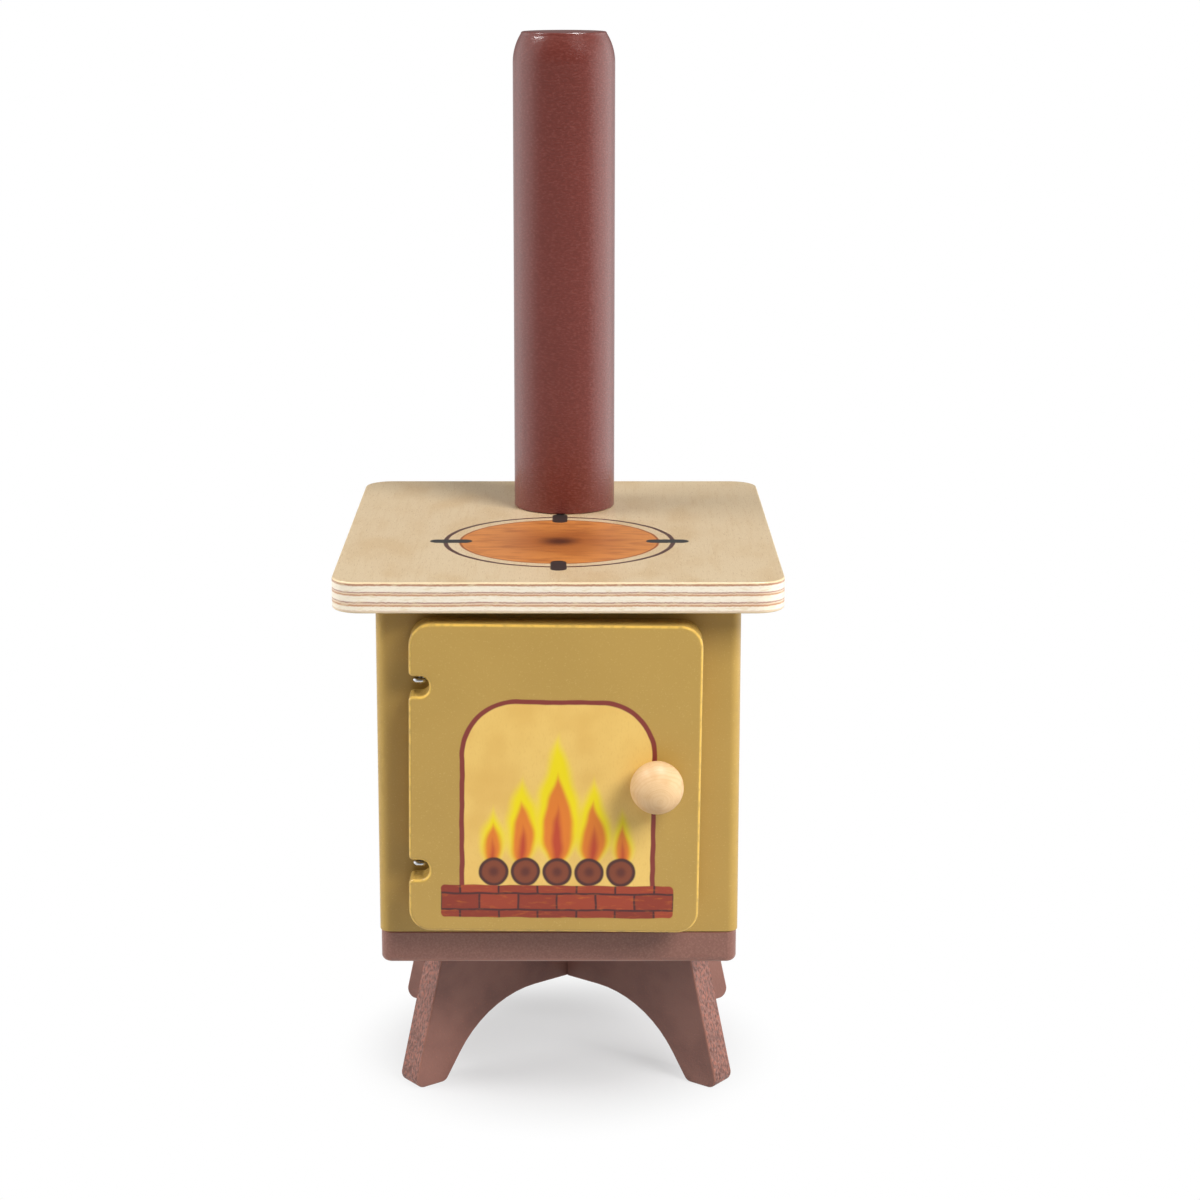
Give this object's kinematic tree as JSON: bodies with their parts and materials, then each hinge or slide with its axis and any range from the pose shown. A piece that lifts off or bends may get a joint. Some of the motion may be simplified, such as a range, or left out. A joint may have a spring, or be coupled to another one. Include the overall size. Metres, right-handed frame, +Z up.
{
  "type": "dollhouse wood stove",
  "caption": "Painted plywood toy stove on crossed splayed legs, with an overhanging hob plate, a round flue pipe and a hinged firebox door with a ball knob.",
  "frame": {"origin": "on the floor, below the middle of the whole stove's width and depth", "axes": "+X to the viewer's right, -Y out of the door towards the viewer, +Z up along the flue pipe"},
  "size_m": [0.121, 0.1492, 0.2969],
  "materials": {
    "birch_plywood": "sanded birch plywood, clear matt oil, plies bare at the edges",
    "olive_paint": "plywood with satin olive-mustard paint",
    "red_brown_paint": "turned hardwood with satin red-brown paint",
    "brown_paint": "plywood with satin grey-brown paint, rough over the end grain",
    "bare_beech": "turned and sanded, bare with a matt oil",
    "steel": "bright zinc plate"
  },
  "bodies": {
    "stove": {"top_plate": "birch_plywood", "flue_pipe": "red_brown_paint", "front_frame": "olive_paint", "back_panel": "olive_paint", "left_side_panel": "olive_paint", "right_side_panel": "olive_paint", "plinth_board": "brown_paint", "leg_board_a": "brown_paint", "leg_board_b": "brown_paint", "leg_screw_1": "steel", "leg_screw_2": "steel", "leg_screw_3": "steel", "leg_screw_4": "steel", "flue_screw": "steel", "plate_dowel_1": "bare_beech", "plate_dowel_2": "bare_beech", "plate_dowel_3": "bare_beech", "plate_dowel_4": "bare_beech", "plinth_dowel_1": "bare_beech", "plinth_dowel_2": "bare_beech", "plinth_dowel_3": "bare_beech", "plinth_dowel_4": "bare_beech", "left_front_dowel_1": "bare_beech", "left_front_dowel_2": "bare_beech", "right_front_dowel_1": "bare_beech", "right_front_dowel_2": "bare_beech", "left_back_dowel_1": "bare_beech", "left_back_dowel_2": "bare_beech", "right_back_dowel_1": "bare_beech", "right_back_dowel_2": "bare_beech", "upper_hinge_eye": "steel", "lower_hinge_eye": "steel"},
    "door": {"door_panel": "olive_paint", "door_knob": "bare_beech", "knob_screw": "steel", "upper_hinge_pin": "steel", "lower_hinge_pin": "steel"}
  },
  "joints": [
    {"name": "door_hinge", "type": "hinge", "parent": "stove", "child": "door", "pos_m": [-0.0376, -0.0577, 0.0595], "axis": [-0.0099, 0, -1], "range_deg": [0, 170]}
  ]
}
